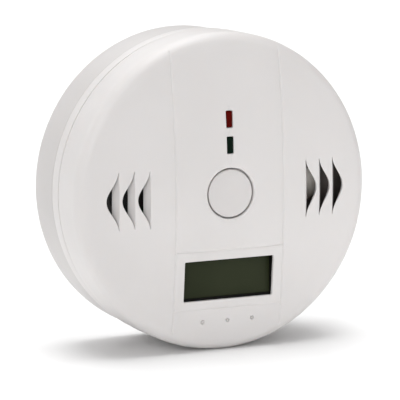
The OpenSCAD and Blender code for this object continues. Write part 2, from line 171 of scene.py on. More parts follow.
# Longest stretches in the lines of a plan: small outlines, grooves and the window, and open areas
FINE_SPACING = 0.8
LINE_SPACING = 1.2
OPEN_SPACING = 1.5
# Points of a plan closer than this are one point, and those this close to its rim belong to the rim
SAME_POINT = 1e-5
ON_RIM = 1e-3
# Steps round the turned shells
SHELL_COUNT = 288
# Edges between faces that turn by more than this, in degrees, stay sharp
SHARP_TURN = 35.0


def row(x, y, z):
    return Vector((x * MM, -z * MM, y * MM))


# ---- Materials ----


class Nodes:
    """A new material with short ways to add and link its nodes."""

    def __init__(self, name):
        self.material = bpy.data.materials.new(name)
        self.material.use_nodes = True
        self.tree = self.material.node_tree
        self.shader = self.tree.nodes["Principled BSDF"]

    def add(self, kind, **values):
        """A node with its inputs and settings given by name."""
        node = self.tree.nodes.new(kind)
        for key, value in values.items():
            if key in node.inputs:
                node.inputs[key].default_value = value
            else:
                setattr(node, key, value)
        return node

    def link(self, source, target):
        self.tree.links.new(source, target)

    def set(self, **values):
        for key, value in values.items():
            self.shader.inputs[key.replace("_", " ")].default_value = value

    def coordinates(self):
        return self.add("ShaderNodeTexCoord").outputs["Object"]

    def noise(self, scale, detail=2.0, roughness=0.5):
        """A noise in the object's own coordinates, with the scale in cells per metre."""
        node = self.add("ShaderNodeTexNoise", Scale=scale, Detail=detail, Roughness=roughness)
        self.link(self.coordinates(), node.inputs["Vector"])
        return node.outputs["Fac"]

    def ramp(self, source, low, high):
        """A colour between two, over the values that a noise mostly has."""
        node = self.add("ShaderNodeValToRGB")
        node.color_ramp.elements[0].position = 0.3
        node.color_ramp.elements[1].position = 0.7
        node.color_ramp.elements[0].color = low
        node.color_ramp.elements[1].color = high
        self.link(source, node.inputs["Fac"])
        return node.outputs["Color"]

    def span(self, source, low, high):
        """A value between two, for a noise from 0 to 1."""
        node = self.add("ShaderNodeMapRange")
        node.inputs["To Min"].default_value = low
        node.inputs["To Max"].default_value = high
        self.link(source, node.inputs["Value"])
        return node.outputs["Result"]

    def bump(self, height, strength, distance):
        node = self.add("ShaderNodeBump", Strength=strength, Distance=distance)
        self.link(height, node.inputs["Height"])
        self.link(node.outputs["Normal"], self.shader.inputs["Normal"])


def off_white(value):
    """A near-white colour with a faint pink cast."""
    return (value + 0.022, value, value - 0.008, 1.0)


def moulded_plastic(name, light, roughness, sheen=0.0):
    """White ABS with a spark-eroded grain and very slight uneven shade."""
    m = Nodes(name)
    shade = m.noise(40.0, 3.0)
    m.link(m.ramp(shade, off_white(light - 0.012), off_white(light + 0.012)), m.shader.inputs["Base Color"])
    m.link(m.span(m.noise(900.0, 2.0), roughness - 0.05, roughness + 0.05), m.shader.inputs["Roughness"])
    m.bump(m.noise(4200.0, 2.0, 0.6), 0.12, 0.02 * MM)
    m.set(IOR=1.5, Subsurface_Weight=0.3, Subsurface_Scale=MM, Sheen_Weight=sheen)
    m.shader.inputs["Subsurface Radius"].default_value = (1.0, 0.85, 0.75)
    return m.material


def plain(name, low, high, roughness, metallic=0.0, scale=300.0, bump=0.02, strength=0.15, specular=0.5):
    """A material whose colour and roughness vary a little with a fine noise."""
    m = Nodes(name)
    shade = m.noise(scale, 3.0)
    m.link(m.ramp(shade, low, high), m.shader.inputs["Base Color"])
    m.link(m.span(m.noise(scale * 3), roughness * 0.85, roughness * 1.15), m.shader.inputs["Roughness"])
    m.bump(m.noise(scale * 6), strength, bump * MM)
    m.set(Metallic=metallic, Specular_IOR_Level=specular)
    return m.material


def lamp_epoxy(name, colour, deep):
    """Tinted epoxy of a lamp: dark, glossy and slightly cloudy."""
    m = Nodes(name)
    m.link(m.ramp(m.noise(500.0), deep, colour), m.shader.inputs["Base Color"])
    m.link(m.span(m.noise(900.0), 0.18, 0.3), m.shader.inputs["Roughness"])
    m.set(IOR=1.53, Specular_IOR_Level=0.02)
    return m.material


def display(name):
    """The unlit display: dark olive liquid crystal under a satin polariser."""
    m = Nodes(name)
    m.link(m.ramp(m.noise(60.0, 1.0), (0.02, 0.025, 0.0105, 1), (0.0255, 0.031, 0.014, 1)),
           m.shader.inputs["Base Color"])
    m.link(m.span(m.noise(2000.0), 0.28, 0.36), m.shader.inputs["Roughness"])
    m.set(IOR=1.5, Specular_IOR_Level=0.06)
    return m.material


white_case = moulded_plastic("case_white", 0.665, 0.42)
white_button = moulded_plastic("button_white", 0.62, 0.4)
# The base's white is darker than the case's: partly a greyer moulding, partly painted shade that stands in
# for the shadow the rear shell casts on the base beside the seam
base_plastic_with_painted_shade = moulded_plastic("base_white", 0.55, 0.45, sheen=0.2)
black = plain("black_plastic", (0.004, 0.0038, 0.0035, 1), (0.007, 0.0066, 0.006, 1), 0.6, specular=0.1)
board = plain("board_green", (0.01, 0.06, 0.025, 1), (0.015, 0.09, 0.035, 1), 0.35)
steel = plain("nickel_steel", (0.5, 0.5, 0.48, 1), (0.62, 0.62, 0.6, 1), 0.3, 1.0)
sensor_case = plain("sensor_plastic", (0.03, 0.026, 0.024, 1), (0.042, 0.036, 0.032, 1), 0.5)
buzzer_case = plain("buzzer_plastic", (0.064, 0.053, 0.047, 1), (0.078, 0.065, 0.058, 1), 0.5)
cloth = plain("carbon_cloth", (0.01, 0.01, 0.01, 1), (0.03, 0.03, 0.03, 1), 0.9, 0.0, 1500.0, 0.2, 0.6)
silvered = plain("piezo_silver", (0.4, 0.38, 0.35, 1), (0.5, 0.48, 0.45, 1), 0.4, 1.0)
sleeve = plain("cell_sleeve", (0.02, 0.045, 0.06, 1), (0.03, 0.06, 0.08, 1), 0.3)
diffuser = plain("diffuser_white", (0.7, 0.72, 0.7, 1), (0.76, 0.78, 0.76, 1), 0.4)
chip = plain("chip_black", (0.015, 0.015, 0.015, 1), (0.03, 0.03, 0.03, 1), 0.6)
blue_sleeve = plain("capacitor_sleeve", (0.01, 0.015, 0.08, 1), (0.015, 0.02, 0.11, 1), 0.3)
copper = plain("coil_copper", (0.3, 0.11, 0.04, 1), (0.42, 0.17, 0.07, 1), 0.35, 0.8)
red_sleeve = plain("lead_red", (0.35, 0.01, 0.01, 1), (0.42, 0.015, 0.012, 1), 0.45)
red_epoxy = lamp_epoxy("red_lens", (0.1, 0.003, 0.0015, 1), (0.06, 0.0015, 0.0008, 1))
green_epoxy = lamp_epoxy("green_lens", (0.005, 0.013, 0.008, 1), (0.003, 0.009, 0.005, 1))
lcd = display("display_glass")

# Every CAD node's material, also of those that are drawn again below
CARRIED_OVER = {
    "main_board": board, "tact_switch": chip, "switch_plunger": chip, "lcd_frame": black, "lcd_glass": lcd,
    "lcd_backlight": diffuser, "lcd_pins": steel, "co_sensor": sensor_case, "sensor_filter": cloth,
    "buzzer_housing": buzzer_case, "piezo_disc": silvered, "aa_cell_1": sleeve, "aa_cell_2": sleeve,
    "aa_cell_3": sleeve, "battery_springs": steel, "battery_contacts": steel, "battery_wires": red_sleeve,
    "mcu": chip, "crystal": steel, "capacitors": blue_sleeve, "resistors": chip, "buzzer_coil": copper,
    "case_screws": steel, "board_screws": steel, "red_led": red_epoxy, "green_led": green_epoxy,
    "mounting_base": base_plastic_with_painted_shade, "rear_shell": white_case, "test_button": white_button,
    "front_cover": white_case, "battery_box": white_case,
}


def paint(obj, material):
    """Gives the whole object one material."""
    obj.data.materials.clear()
    obj.data.materials.append(material)


for name, material in CARRIED_OVER.items():
    paint(nodes[name], material)


# ---- Shapes in plan ----


def circle(centre, radius, count):
    turns = [2 * math.pi * i / count for i in range(count)]
    return [(centre[0] + radius * math.cos(a), centre[1] + radius * math.sin(a)) for a in turns]


def rounded_box(centre, size, corner, steps=4):
    """Outline of a rectangle with rounded corners, counterclockwise."""
    hx, hy = size[0] / 2 - corner, size[1] / 2 - corner
    points = []
    for quarter, (sx, sy) in enumerate(((1, 1), (-1, 1), (-1, -1), (1, -1))):
        for i in range(steps + 1):
            a = math.pi / 2 * (quarter + i / steps)
            x = centre[0] + sx * hx + corner * math.cos(a)
            y = centre[1] + sy * hy + corner * math.sin(a)
            points.append((x, y))
    return points


def divided(points, longest, closed=True):
    """The same line with its long stretches divided."""
    result = []
    count = len(points)
    for i in range(count if closed else count - 1):
        a, b = points[i], points[(i + 1) % count]
        pieces = max(1, math.ceil(math.dist(a, b) / longest))
        for k in range(pieces):
            result.append((a[0] + (b[0] - a[0]) * k / pieces, a[1] + (b[1] - a[1]) * k / pieces))
    if not closed:
        result.append(points[-1])
    return result


def outset(points, distance):
    """A counterclockwise outline moved outwards, with its sharp corners rounded."""
    sharp, step = 0.5, 0.4
    result = []
    count = len(points)
    for i, p in enumerate(points):
        before, after = points[i - 1], points[(i + 1) % count]
        a_in = math.atan2(p[1] - before[1], p[0] - before[0]) - math.pi / 2
        turn = math.atan2(after[1] - p[1], after[0] - p[0]) - math.pi / 2 - a_in
        turn = (turn + math.pi) % (2 * math.pi) - math.pi
        if turn > sharp:
            steps = max(2, round(turn / step))
            angles = [a_in + turn * k / steps for k in range(steps + 1)]
            result += [(p[0] + distance * math.cos(a), p[1] + distance * math.sin(a)) for a in angles]
        else:
            reach = distance / math.cos(turn / 2)
            a = a_in + turn / 2
            result.append((p[0] + reach * math.cos(a), p[1] + reach * math.sin(a)))
    return result


def bell(v):
    """Width of a slot at the distance v from its middle."""
    return SLOT_W * max(0.0, math.cos(math.pi / 2 * v / SLOT_REACH)) ** SLOT_POWER


def reach_of(width):
    """Distance from a slot's middle at which it has this width."""
    return SLOT_REACH * math.acos((width / SLOT_W) ** (1 / SLOT_POWER)) / (math.pi / 2)


SLOT_END = reach_of(TIP_W)


def slot_outline(first_x, side):
    """Outline of the slot whose straight edge stands at first_x, counterclockwise."""
    steps = 44
    vs = [SLOT_END * (2 * i / steps - 1) for i in range(steps + 1)]
    edge = divided([(0, SLOT_END), (0, -SLOT_END)], FINE_SPACING, closed=False)
    points = [(side * (first_x + u), SLOT_Y + v) for u, v in [(bell(v), v) for v in vs] + edge]
    return points if side > 0 else points[::-1]


# ---- Surfaces ----


def dome_z(r, under=0.0):
    """Height of the cover's outside, or of the surface the given depth under it."""
    if r <= BLEND_R * (DOME_R - under) / DOME_R:
        return DOME_CENTRE_Z + math.sqrt((DOME_R - under) ** 2 - r * r)
    return RIM_Z + math.sqrt(max(0.0, (RIM_ROUND - under) ** 2 - (r - CROWN_R) ** 2))


BEZEL_Z = dome_z(-WINDOW_Y) - BEZEL_SINK


def segment_distance(p, a, b):
    """Distances of the points p from the segment a to b."""
    a, b = np.array(a), np.array(b)
    along = b - a
    t = np.clip(((p - a) @ along) / (along @ along), 0, 1)
    return np.linalg.norm(p - (a + t[:, None] * along), axis=1)


def outline_distance(p, outline):
    """Distances of the points p from a closed outline."""
    return np.min([segment_distance(p, a, b) for a, b in zip(outline, outline[1:] + outline[:1])], axis=0)


def inside_outline(p, outline):
    """Which of the points p are inside the outline."""
    hit = np.zeros(len(p), bool)
    for (x1, y1), (x2, y2) in zip(outline, outline[1:] + outline[:1]):
        if y1 == y2:
            continue
        crosses = (y1 > p[:, 1]) != (y2 > p[:, 1])
        hit ^= crosses & (p[:, 0] < (x2 - x1) * (p[:, 1] - y1) / (y2 - y1) + x1)
    return hit


# Depth of a rounded lip at each distance from its edge, both as shares of its radius
LIP = ((0.0, 1.0), (0.1, 0.564), (0.35, 0.24), (0.65, 0.063), (1.0, 0.0))
# Depth of a groove at each distance from its middle, as shares of its half width and its depth
GROOVE = ((0.0, 1.0), (0.25, 0.85), (0.5, 0.5), (0.75, 0.15), (1.0, 0.0))


def profile(table, distance):
    """A table's value at each distance."""
    return np.interp(distance, [d for d, _ in table], [v for _, v in table])


class Plate:
    """A moulding that is a height above every point of its plan: its plan's lines are gathered here, and
    solid() triangulates the plan and gives it a top, an underside and walls round every hole."""

    def __init__(self, rim_r, rim_count):
        self.points, self.edges, self.holes = [], [], []
        self.rim = circle((0, 0), rim_r, rim_count)
        self.rim_r = rim_r
        self.line(self.rim)

    def line(self, points, closed=True):
        start = len(self.points)
        self.points += points
        count = len(points)
        self.edges += [(start + i, start + (i + 1) % count) for i in range(count if closed else count - 1)]

    def stretch(self, a, b):
        """A straight line from a to b."""
        self.line(divided([tuple(a), tuple(b)], LINE_SPACING, closed=False), closed=False)

    def step(self, centre, radius, count):
        """The two lines of a round step in a surface."""
        for shift in (-STEP, STEP):
            self.line(circle(centre, radius + shift, count))

    def cut(self, outline):
        """A hole right through the plate."""
        self.holes.append(outline)
        self.line(outline)

    def lip(self, outline, radius):
        """Lines for a lip of this radius round an outline."""
        for share, _ in LIP:
            self.line(outset(outline, share * radius) if share else outline)

    def fill(self, spacing):
        """Points in the open areas, on rings, away from every line."""
        clearance = 0.3 * spacing
        spare = []
        rings = round(self.rim_r / spacing)
        for k in range(rings):
            r = self.rim_r * k / rings
            count = max(1, round(2 * math.pi * r / spacing))
            spare += circle((0, 0), r, count)
        spare = np.array(spare)
        lines = np.array([(self.points[a], self.points[b]) for a, b in self.edges])
        near = np.zeros(len(spare), bool)
        for a, b in lines:
            close = np.abs(spare - (a + b) / 2).max(axis=1) < spacing
            if close.any():
                near[close] |= segment_distance(spare[close], a, b) < clearance
        self.points += [tuple(p) for p in spare[~near]]

    def solid(self, name, top, underside, lean, band):
        """The closed mesh. lean moves the plan of its underside, and band is the outline of its edge, as
        (radius, height) from the top's rim to the underside's."""
        flat, _, faces, *_ = delaunay_2d_cdt([Vector(p) for p in self.points], self.edges, [], 0, SAME_POINT)
        plan = np.array([tuple(v) for v in flat])
        faces = np.array(faces)
        middles = plan[faces].mean(axis=1)
        keep = inside_outline(middles, self.rim)
        for outline in self.holes:
            keep &= ~inside_outline(middles, outline)
        faces = faces[keep]
        used = np.unique(faces)
        new_index = -np.ones(len(plan), int)
        new_index[used] = np.arange(len(used))
        plan, faces = plan[used], new_index[faces]
        count = len(plan)
        vertices = [row(x, y, z) for (x, y), z in zip(plan, top(plan))]
        vertices += [row(x, y, z) for (x, y), z in zip(lean(plan), underside(plan))]
        polygons = [tuple(f) for f in faces] + [tuple(f[::-1] + count) for f in faces]
        # Walls stand on the edges that only one triangle has
        seen = {}
        for f in faces:
            for a, b in ((f[0], f[1]), (f[1], f[2]), (f[2], f[0])):
                seen[(a, b)] = seen.get((a, b), 0) + 1
        open_edges = [(a, b) for a, b in seen if (b, a) not in seen]
        on_rim = {i for i in range(count) if math.hypot(*plan[i]) > self.rim_r - ON_RIM}
        for a, b in open_edges:
            if a in on_rim and b in on_rim:
                continue
            polygons.append((b, a, a + count, b + count))
        # The band closes the rim
        rim = sorted(on_rim, key=lambda i: math.atan2(plan[i][1], plan[i][0]))
        rings = [rim]
        for r, z in band:
            ring = []
            for i in rim:
                x, y = plan[i] * (r / self.rim_r)
                ring.append(len(vertices))
                vertices.append(row(x, y, z))
            rings.append(ring)
        rings.append([i + count for i in rim])
        for upper, lower in zip(rings, rings[1:]):
            for i in range(len(rim)):
                j = (i + 1) % len(rim)
                polygons.append((upper[i], lower[i], lower[j], upper[j]))
        return new_mesh(name, vertices, polygons)


def add_object(name, data):
    """A new object in the scene."""
    obj = bpy.data.objects.new(name, data)
    bpy.context.scene.collection.objects.link(obj)
    return obj


def new_mesh(name, vertices, polygons):
    mesh = bpy.data.meshes.new(name)
    mesh.from_pydata(vertices, [], polygons)
    mesh.validate()
    smooth(mesh)
    return add_object(name, mesh)


def lathe(name, outline, count, centre=(0.0, 0.0)):
    """A closed outline of (radius, height) turned about the axis, which it may touch."""
    vertices, rings = [], []
    for r, z in outline:
        if r == 0:
            rings.append([len(vertices)] * count)
            vertices.append(row(centre[0], centre[1], z))
            continue
        rings.append(list(range(len(vertices), len(vertices) + count)))
        vertices += [row(x, y, z) for x, y in circle(centre, r, count)]
    polygons = []
    for a, b in zip(rings, rings[1:] + rings[:1]):
        for i in range(count):
            j = (i + 1) % count
            corners = []
            for v in (a[i], a[j], b[j], b[i]):
                if v not in corners:
                    corners.append(v)
            if len(corners) > 2:
                polygons.append(tuple(corners))
    return new_mesh(name, vertices, polygons)


def prism(name, outline, low, high):
    """An outline, counterclockwise, drawn out between two heights."""
    count = len(outline)
    vertices = [row(x, y, z) for z in (low, high) for x, y in outline]
    polygons = [tuple(range(count))[::-1], tuple(range(count, 2 * count))]
    polygons += [(i, (i + 1) % count, (i + 1) % count + count, i + count) for i in range(count)]
    return new_mesh(name, vertices, polygons)


def combine(piece, how, others):
    """Adds (UNION) the other objects to the piece or takes them away (DIFFERENCE), and deletes them."""
    for other in others:
        modifier = piece.modifiers.new("combine", "BOOLEAN")
        modifier.operation = how
        modifier.solver = "EXACT"
        modifier.object = other
        solved = piece.evaluated_get(bpy.context.evaluated_depsgraph_get())
        mesh = bpy.data.meshes.new_from_object(solved)
        piece.modifiers.clear()
        piece.data = mesh
        bpy.data.objects.remove(other)
    piece.data.name = piece.name
    smooth(piece.data)


def smooth(mesh):
    mesh.shade_smooth()
    mesh.set_sharp_from_angle(angle=math.radians(SHARP_TURN))


def polar(radius, degrees):
    """The point at this distance and direction from the axis."""
    return radius * math.cos(math.radians(degrees)), radius * math.sin(math.radians(degrees))


def arc(centre, radius, start, end, steps):
    """Points of an arc from start to end, in degrees."""
    turns = [math.radians(start + (end - start) * i / steps) for i in range(steps + 1)]
    return [(centre[0] + radius * math.cos(a), centre[1] + radius * math.sin(a)) for a in turns]


# ---- Front cover ----

# Radii of the lips round the openings
SLOT_LIP = 0.25
WINDOW_LIP = 0.3
LED_LIP = 0.2
BUTTON_LIP = 0.6
# The plan of the cover ends at COVER_TOP_R, and a band closes it from there. RIM_LINES are circles in the
# plan where its surfaces bend most, and SIDE_RINGS are heights that divide the straight side
COVER_TOP_R = 49.0
RIM_COUNT = 360
RIM_LINES = (48.6, CASE_R - WALL, CASE_R - WALL - STEP, 47.6, 47.0, BLEND_R, 45.4, 44.4)
SIDE_RINGS = (29.0, 25.0)
# The thicker part around the slots of one side: middle and half sizes, before its underside is moved out
LOUVRE_MIDDLE = (SLOT_FIRST_X - LOUVRE_EDGE + LOUVRE_END_X) / 2 - SLOT_RUN
LOUVRE_HALF = ((LOUVRE_END_X - SLOT_FIRST_X + LOUVRE_EDGE) / 2, SLOT_REACH + LOUVRE_EDGE)
LEAN_FADE = 3.0
# Grooves as start, end, half width and depth: two long ones, two at the bezel, and a shallow channel from the
# button past the lamps
GROOVES = [((side * GROOVE_X, GROOVE_Y[0]), (side * GROOVE_X, GROOVE_Y[1]), GROOVE_HALF, 0.2)
           for side in (-1, 1)]
GROOVES += [((-GROOVE_X, BEZEL_TOP), (GROOVE_X, BEZEL_TOP), GROOVE_HALF, 0.16),
            ((-GROOVE_X, BEZEL_BOTTOM), (GROOVE_X, BEZEL_BOTTOM), GROOVE_HALF, 0.08),
            ((0, BUTTON_HOLE_R - 0.5), (0, CHANNEL_TOP), CHANNEL_HALF, 0.15)]
# Openings as outline and lip
CUTS = [(divided(rounded_box((0, WINDOW_Y), WINDOW, WINDOW_CORNER), LINE_SPACING), WINDOW_LIP)]
CUTS += [(divided(rounded_box((0, y), LED_WINDOW, LED_WINDOW_CORNER), FINE_SPACING), LED_LIP)
         for y in LED_Y.values()]
CUTS.append((circle((0, BUTTON_Y), BUTTON_HOLE_R, BUTTON_COUNT), BUTTON_LIP))
CUTS += [(slot_outline(SLOT_FIRST_X + SLOT_PITCH * i, side), SLOT_LIP)
         for side in (1, -1) for i in range(SLOT_COUNT)]


def inside_bezel(plan):
    """Distance inside the edge of the bezel, negative outside it."""
    return np.minimum(GROOVE_X - np.abs(plan[:, 0]),
                      np.minimum(plan[:, 1] - BEZEL_BOTTOM, BEZEL_TOP - plan[:, 1]))


def bezel_plane(plan, under=0.0):
    """Height of the bezel's flat face, or of the plane the given depth under it."""
    return BEZEL_Z - under + (plan[:, 1] - WINDOW_Y) * math.tan(BEZEL_TILT)


def beyond_louvres(plan):
    """Distance outside the thicker parts around the slots, negative inside them."""
    return np.maximum(np.abs(np.abs(plan[:, 0]) - LOUVRE_MIDDLE) - LOUVRE_HALF[0],
                      np.abs(plan[:, 1] - SLOT_Y) - LOUVRE_HALF[1])


def cover_top(plan):
    r = np.hypot(plan[:, 0], plan[:, 1])
    z = np.array([dome_z(v) for v in r])
    # Across the grooves around the bezel the surface passes from the dome to the bezel's plane
    share = np.clip(inside_bezel(plan) / BEZEL_BLEND + 0.5, 0, 1)
    z += share * (bezel_plane(plan) - z)
    drop = np.zeros(len(plan))
    for a, b, half, depth in GROOVES:
        drop = np.maximum(drop, depth * profile(GROOVE, segment_distance(plan, a, b) / half))
    for outline, lip in CUTS:
        d = outline_distance(plan, outline)
        drop = np.maximum(drop, np.where(d < lip, lip * profile(LIP, d / lip), 0))
    for x in PIP_X:
        d = np.hypot(plan[:, 0] - x, plan[:, 1] - PIP_Y)
        pin = np.cos(np.minimum(d / PIP_R, 1) * math.pi / 2) ** PIP_POWER
        z += np.where(d < PIP_R, PIP_H * pin, 0)
        across = np.clip((d - PIP_R) / (PIP_RING_R - PIP_R), 0, 1)
        drop = np.maximum(drop, PIP_RING_DEPTH * np.sin(math.pi * across))
    return z - drop


def cover_underside(plan):
    r = np.hypot(plan[:, 0], plan[:, 1])
    z = np.array([dome_z(v, WALL) for v in r])
    z = np.where(inside_bezel(plan) > 0, bezel_plane(plan, BEZEL_T), z)
    # Near the rim the thicker part stays level instead of following the dome down
    z = np.where(beyond_louvres(plan) < 0, [dome_z(min(v, BLEND_R - 1), SLOT_DROP) for v in r], z)
    collar = np.hypot(plan[:, 0], plan[:, 1] - BUTTON_Y)
    z = np.where((collar > COLLAR_R[0]) & (collar < COLLAR_R[1]), COLLAR_Z, z)
    for degrees in CASE_SCREW_TURNS:
        x, y = polar(CASE_SCREW_R, degrees)
        z = np.where(np.hypot(plan[:, 0] - x, plan[:, 1] - y) < PILLAR_R, PILLAR_Z, z)
    return np.where(r > CASE_R - WALL - STEP / 2, SEAM_Z, z)


def cover_lean(plan):
    """Plan of the underside: around the slots it stands further out, because they lean. Their bell-shaped
    edges lean a little less, so the slots close by SLOT_CLOSING on their way in."""
    share = np.clip(1 - beyond_louvres(plan) / LEAN_FADE, 0, 1)
    width = np.array([bell(v) for v in plan[:, 1] - SLOT_Y])
    from_first = np.abs(plan[:, 0]) - SLOT_FIRST_X
    u = from_first % SLOT_PITCH
    on_bar = (from_first > 0) & (from_first < SLOT_COUNT * SLOT_PITCH) & (u > width / 2)
    closing = np.where(on_bar, (SLOT_PITCH - u) / (SLOT_PITCH - width), 0) * width / SLOT_W * SLOT_CLOSING
    return plan + np.stack([np.sign(plan[:, 0]) * (SLOT_RUN - closing) * share, np.zeros(len(plan))], axis=1)


def draw_louvres(plate):
    for side in (-1, 1):
        for shift in (-STEP, STEP):
            size = (2 * (LOUVRE_HALF[0] + shift), 2 * (LOUVRE_HALF[1] + shift))
            outline = rounded_box((side * LOUVRE_MIDDLE, SLOT_Y), size, LOUVRE_CORNER, steps=1)
            plate.line(divided(outline, OPEN_SPACING))


def draw_grooves(plate):
    for a, b, half, _ in GROOVES:
        a, b = Vector(a), Vector(b)
        along = b - a
        side = Vector((-along.y, along.x)).normalized()
        for share, _ in GROOVE:
            for sign in (1, -1) if share else (1,):
                shift = side * (sign * share * half)
                plate.stretch(a + shift, b + shift)
    for edge in (BEZEL_TOP, BEZEL_BOTTOM):
        for shift in (-STEP, STEP):
            plate.stretch((-GROOVE_X, edge + shift), (GROOVE_X, edge + shift))


def make_cover():
    plate = Plate(COVER_TOP_R, RIM_COUNT)
    for r in RIM_LINES:
        plate.line(circle((0, 0), r, RIM_COUNT))
    draw_grooves(plate)
    for outline, lip in CUTS:
        plate.lip(outline, lip)
        plate.cut(outline)
    draw_louvres(plate)
    for r in COLLAR_R:
        plate.step((0, BUTTON_Y), r, 72)
    for degrees in CASE_SCREW_TURNS:
        plate.step(polar(CASE_SCREW_R, degrees), PILLAR_R, 32)
    for x in PIP_X:
        for share in (0.4, 0.7, 0.9, 1.0):
            plate.line(circle((x, PIP_Y), PIP_R * share, 20))
        for share in (0.25, 0.5, 0.75, 1.0):
            plate.line(circle((x, PIP_Y), PIP_R + share * (PIP_RING_R - PIP_R), 20))
    plate.fill(OPEN_SPACING)
    start = math.degrees(math.acos((COVER_TOP_R - CROWN_R) / RIM_ROUND))
    band = arc((CROWN_R, RIM_Z), RIM_ROUND, start, 0, 6)[1:]
    band += [(CASE_R, z) for z in SIDE_RINGS]
    band += arc((CASE_R - SEAM_ROUND, SEAM_Z + SEAM_ROUND), SEAM_ROUND, 0, -90, 4)
    return plate.solid("front_cover_shell", cover_top, cover_underside, cover_lean, band)


def place(piece, body, node, material):
    """Paints a piece that stands for a CAD node and lets it ride on that node's body."""
    paint(piece, material)
    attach(piece, body)
    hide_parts(node)


place(make_cover(), "alarm_body", "front_cover", white_case)


# ---- Test button ----

BUTTON_TOP = CASE_DEPTH - BUTTON_SINK
FLANGE_GAP = 0.4
BUTTON_FLANGE_TOP = dome_z(COLLAR_R[0], WALL) - FLANGE_GAP
BUTTON_FLANGE_T = 1.3
BUTTON_FLANGE_R = 9.6
STEM_FOOT = 34.8
STEM_R = 2.0
STEM_CHAMFER = 0.15
CAP_R = BUTTON_HOLE_R - BUTTON_GAP
CAP_ROUND = 0.4


def make_button():
    foot = BUTTON_FLANGE_TOP - BUTTON_FLANGE_T
    outline = [(0, STEM_FOOT), (STEM_R - STEM_CHAMFER, STEM_FOOT), (STEM_R, STEM_FOOT + STEM_CHAMFER),
               (STEM_R, foot), (BUTTON_FLANGE_R, foot), (BUTTON_FLANGE_R, BUTTON_FLANGE_TOP),
               (CAP_R, BUTTON_FLANGE_TOP)]
    outline += arc((CAP_R - CAP_ROUND, BUTTON_TOP - CAP_ROUND), CAP_ROUND, 0, 90, 6)
    # A ring divides the flat top
    outline += [(CAP_R * 0.6, BUTTON_TOP), (0, BUTTON_TOP)]
    return lathe("test_button_cap", outline[::-1], BUTTON_COUNT, (0, BUTTON_Y))


place(make_button(), "button", "test_button", white_button)


# ---- Rear shell and mounting base ----


def sector(r_in, r_out, middle, turn):
    """Outline of a piece of a ring, turn degrees long."""
    start, end = middle - turn / 2, middle + turn / 2
    return arc((0, 0), r_out, start, end, 24) + arc((0, 0), r_in, end, start, 24)


def turned_box(r_in, r_out, width, degrees):
    """Outline of a box that lies along a radius."""
    corners = [(r_in, -width / 2), (r_out, -width / 2), (r_out, width / 2), (r_in, width / 2)]
    ax, ay = polar(1, degrees)
    return [(x * ax - y * ay, x * ay + y * ax) for x, y in corners]


def make_rear_shell():
    soft = 0.35
    outline = [(0, SHELL_Z), (SKIRT_R[0], SHELL_Z), (SKIRT_R[0], SKIRT_Z), (SKIRT_R[1], SKIRT_Z),
               (SKIRT_R[1], SHELL_Z)]
    outline += arc((SHELL_R - soft, SHELL_Z + soft), soft, -90, 0, 5)
    outline += arc((SHELL_R - SEAM_ROUND, SHELL_TOP - SEAM_ROUND), SEAM_ROUND, 0, 90, 4)
    outline += [(LIP_R[1], SHELL_TOP), (LIP_R[1], LIP_TOP - LIP_CHAMFER), (LIP_R[1] - LIP_CHAMFER, LIP_TOP),
                (LIP_R[0], LIP_TOP), (LIP_R[0], SHELL_Z + WALL), (0, SHELL_Z + WALL)]
    shell = lathe("rear_shell_moulding", outline[::-1], SHELL_COUNT)
    tabs = [prism("tab", sector(SKIRT_R[1] - 1, TAB_R, a, TAB_TURN), *TAB_Z) for a in BAYONET_TURNS]
    bosses = [prism("boss", circle(polar(CASE_SCREW_R, a), CASE_BOSS_R, 32), SHELL_Z + 1, PILLAR_Z - 0.2)
              for a in CASE_SCREW_TURNS]
    bosses += [prism("boss", circle(polar(BOARD_SCREW_R, a), BOARD_BOSS_R, 32), SHELL_Z + 1, BOARD_Z)
               for a in BOARD_SCREW_TURNS]
    combine(shell, "UNION", tabs + bosses)
    holes = [prism("opening", rounded_box((0, 0), BOX_OPENING, BOX_CORNER), SHELL_Z - 1, SHELL_Z + WALL + 1)]
    for a in CASE_SCREW_TURNS:
        at = polar(CASE_SCREW_R, a)
        holes.append(prism("counterbore", circle(at, COUNTERBORE_R, 32), SHELL_Z - 1, COUNTERBORE_TOP))
        holes.append(prism("hole", circle(at, CASE_HOLE_R, 24), SHELL_Z + 1, BOARD_Z + 2))
    holes += [prism("hole", circle(polar(BOARD_SCREW_R, a), BOARD_HOLE_R, 24), SHELL_Z + 1.5, BOARD_Z + 1)
              for a in BOARD_SCREW_TURNS]
    combine(shell, "DIFFERENCE", holes)
    return shell


def make_base():
    rear, front = 1.5, 0.5
    outline = [(0, 0)] + arc((BASE_R - rear, rear), rear, -90, 0, 8)
    outline += arc((BASE_R - front, BASE_DEPTH - front), front, 0, 90, 5)
    outline += [(DISH_R, BASE_DEPTH), (DISH_R, BASE_FLOOR), (0, BASE_FLOOR)]
    base = lathe("mounting_base_moulding", outline[::-1], SHELL_COUNT)
    added = []
    for a in BAYONET_TURNS:
        added.append(prism("lug", sector(*LUG_R, a, LUG_TURN), *LUG_Z))
        middle = a - TAB_TURN / 2 - STOP_GAP - STOP_TURN / 2
        added.append(prism("stop", sector(*STOP_R, middle, STOP_TURN), BASE_FLOOR - 1, LUG_Z[1] - 1))
    added += [prism("gusset", turned_box(GUSSET_R, DISH_R + 1, GUSSET_T, a), BASE_FLOOR - 1, GUSSET_TOP)
              for a in GUSSET_TURNS]
    added += [prism("boss", circle((x, 0), SCREW_BOSS_R, 48), BASE_FLOOR - 1, BASE_FLOOR + SCREW_BOSS_H)
              for x in (-SCREW_X, SCREW_X)]
    combine(base, "UNION", added)
    combine(base, "DIFFERENCE", [prism("hole", circle((x, 0), SCREW_HOLE_R, 48), -1, BASE_FLOOR + 2)
                                 for x in (-SCREW_X, SCREW_X)])
    return base


place(make_rear_shell(), "alarm_body", "rear_shell", white_case)
place(make_base(), "wall_base", "mounting_base", base_plastic_with_painted_shade)


# ---- Lamps ----

